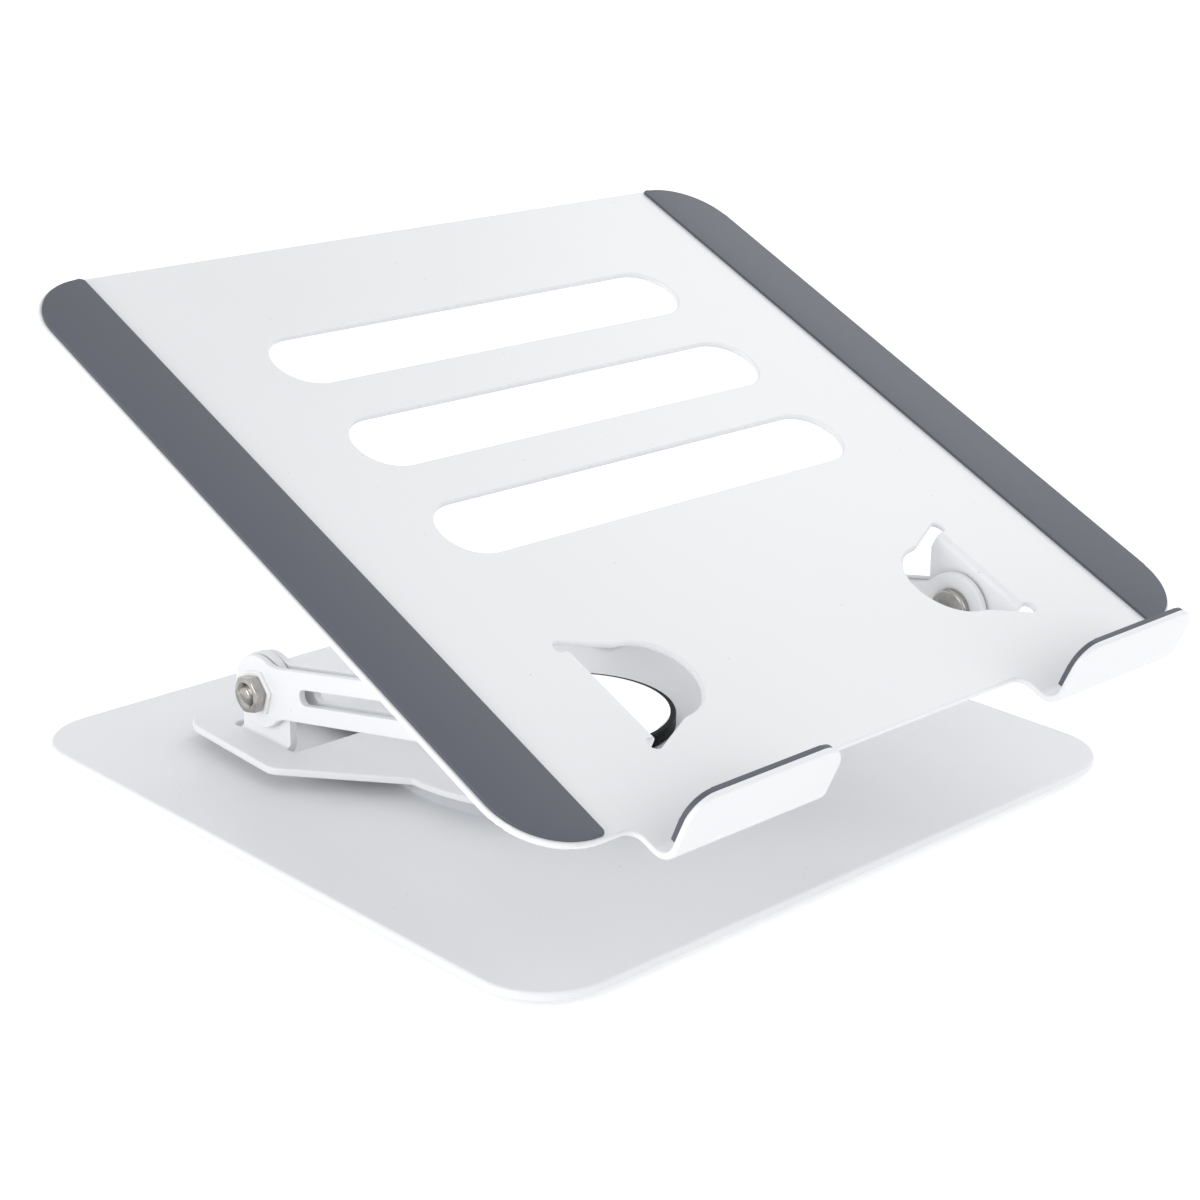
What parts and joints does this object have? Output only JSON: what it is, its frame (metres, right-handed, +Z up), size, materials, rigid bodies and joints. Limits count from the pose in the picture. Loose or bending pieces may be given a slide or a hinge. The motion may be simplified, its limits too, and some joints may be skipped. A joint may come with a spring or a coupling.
{
  "type": "laptop stand",
  "caption": "Sheet-metal laptop stand: slotted tilting platform with front lips and grip strips, on paired folding arms that rise from a swivel plate over a flat base.",
  "frame": {"origin": "on the desk, under the swivel axis, at the middle of the centre foot's lower face", "axes": "+Z up, +Y from the user towards the back of the desk, +X to the user's right"},
  "size_m": [0.28, 0.2821, 0.1581],
  "materials": {
    "white_coat": "white powder coat, fine texture, satin",
    "grip_rubber": "grey silicone, matt",
    "foot_rubber": "black silicone, matt",
    "disc_plastic": "moulded light grey nylon",
    "collar_plastic": "moulded black acetal",
    "washer_plastic": "dark nylon",
    "cap_steel": "polished",
    "fastener_steel": "polished nickel plate",
    "seat_plastic": "moulded white nylon"
  },
  "bodies": {
    "base": {"base_plate": "white_coat", "corner_feet": "foot_rubber", "centre_foot": "foot_rubber", "slide_disc": "disc_plastic", "hub_collar": "collar_plastic", "hub_cap": "cap_steel", "hub_screws": "fastener_steel"},
    "turntable": {"swivel_plate": "white_coat", "friction_ring": "washer_plastic", "lower_friction_washers": "washer_plastic"},
    "arms": {"left_outer_arm": "white_coat", "left_inner_arm": "white_coat", "right_outer_arm": "white_coat", "right_inner_arm": "white_coat", "lower_pivot_bolts": "fastener_steel", "lower_pivot_nuts": "fastener_steel", "lower_pivot_washers": "seat_plastic"},
    "upper_pivot": {"upper_pivot_bolts": "fastener_steel", "upper_pivot_nuts": "fastener_steel", "upper_pivot_washers": "seat_plastic"},
    "platform": {"platform": "white_coat", "upper_friction_washers": "washer_plastic", "left_grip_strip": "grip_rubber", "right_grip_strip": "grip_rubber", "left_lip_pad": "grip_rubber", "right_lip_pad": "grip_rubber"}
  },
  "joints": [
    {"name": "turntable_spin", "type": "hinge", "parent": "base", "child": "turntable", "pos_m": [0, 0, 0.0095], "axis": [0, 0, 1], "continuous": true},
    {"name": "arm_lift", "type": "hinge", "parent": "turntable", "child": "arms", "pos_m": [0, 0.056, 0.0279], "axis": [-1, 0, 0], "range_deg": [-11.3, 63.7]},
    {"name": "upper_pivot_turn", "type": "hinge", "parent": "arms", "child": "upper_pivot", "pos_m": [0, -0.09207, 0.05749], "axis": [-1, 0, 0], "range_deg": [-63.7, 11.3]},
    {"name": "platform_tilt", "type": "hinge", "parent": "upper_pivot", "child": "platform", "pos_m": [0, -0.09207, 0.05749], "axis": [1, 0, 0], "range_deg": [-24.3, 11.7]}
  ],
  "couplings": [
    {"joint": "upper_pivot_turn", "follows": "arm_lift", "ratio": -1}
  ]
}
